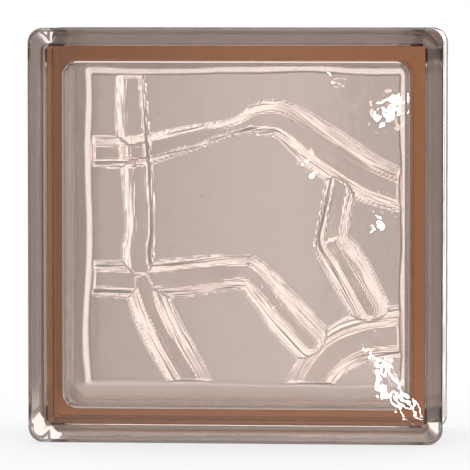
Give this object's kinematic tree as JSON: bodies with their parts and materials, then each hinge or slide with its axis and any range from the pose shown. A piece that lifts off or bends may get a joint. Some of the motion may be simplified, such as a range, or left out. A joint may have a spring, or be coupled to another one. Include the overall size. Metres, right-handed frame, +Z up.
{
  "type": "glass block",
  "caption": "Square hollow glass block: flanged faces, mortar channel round the rim, seam bead and a pressed relief of raised ribs inside the back face.",
  "frame": {"origin": "middle of the underside, between the two lower flanges", "axes": "+Z up the block's height, +X to the right seen from the front, front face towards -Y"},
  "size_m": [0.19, 0.08, 0.19],
  "materials": {
    "glass": "clear pressed glass with a light bronze tint"
  },
  "bodies": {
    "root": {"front_half": "glass", "back_half": "glass"}
  },
  "joints": []
}
